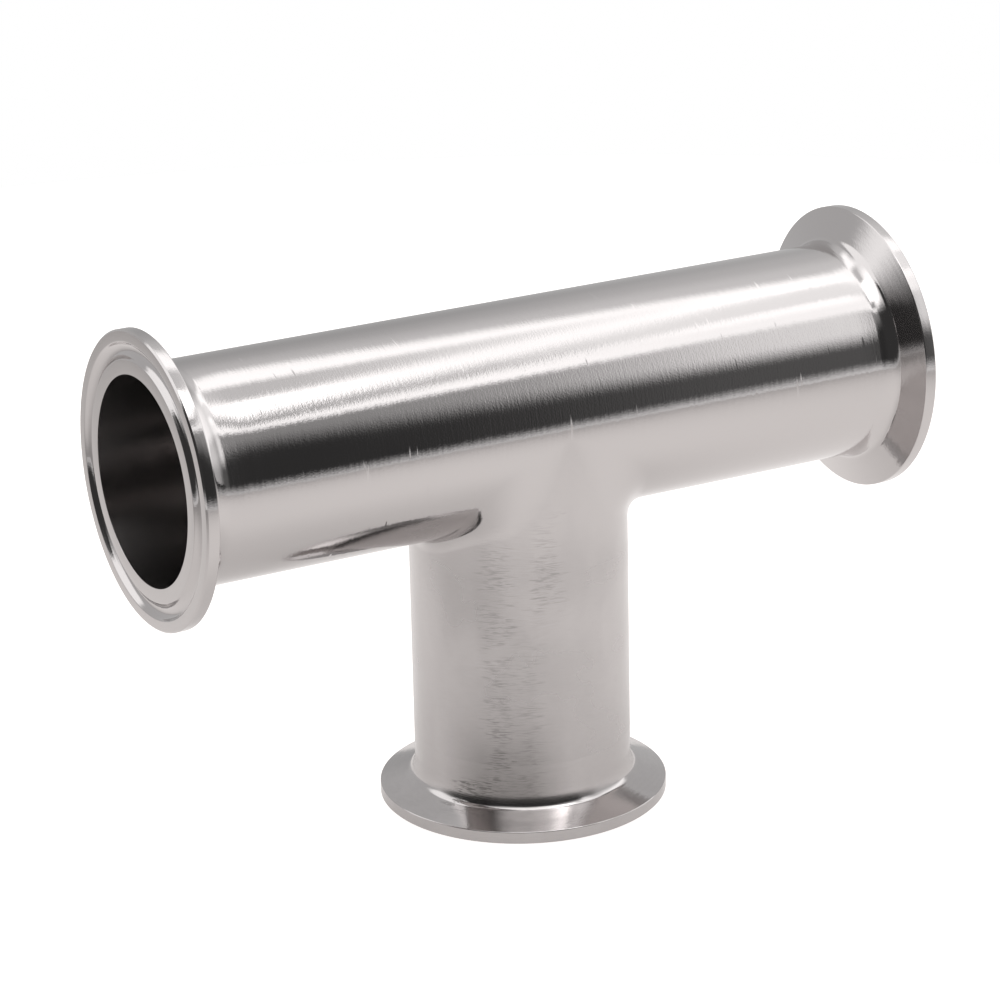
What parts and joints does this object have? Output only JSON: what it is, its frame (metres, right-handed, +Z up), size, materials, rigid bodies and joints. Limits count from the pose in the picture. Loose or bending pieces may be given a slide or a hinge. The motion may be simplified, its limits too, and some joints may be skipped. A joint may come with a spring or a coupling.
{
  "type": "hygienic clamp tee fitting",
  "caption": "Equal pipe tee in stainless steel tube, with a flanged clamp ferrule welded to each open end.",
  "frame": {"origin": "centre of the branch ferrule's mating face, which the tee stands on", "axes": "+X along the run, towards the right-hand ferrule; +Z up from the branch's mating face to the run; the run's axis is at z = 0.070 m"},
  "size_m": [0.14, 0.0506, 0.0953],
  "materials": {
    "brushed_tube": "stainless tube, brushed round its circumference to a fine bright grain",
    "polished_ferrule": "turned stainless steel, polished bright, with a faint lathe grain",
    "dressed_weld": "stainless weld bead, ground flush and blended into the tube"
  },
  "bodies": {
    "root": {"run_tube": "brushed_tube", "branch_tube": "brushed_tube", "ferrule_left": "polished_ferrule", "ferrule_right": "polished_ferrule", "ferrule_branch": "polished_ferrule", "weld_left": "dressed_weld", "weld_right": "dressed_weld", "weld_branch": "dressed_weld", "weld_collar": "dressed_weld"}
  },
  "joints": []
}
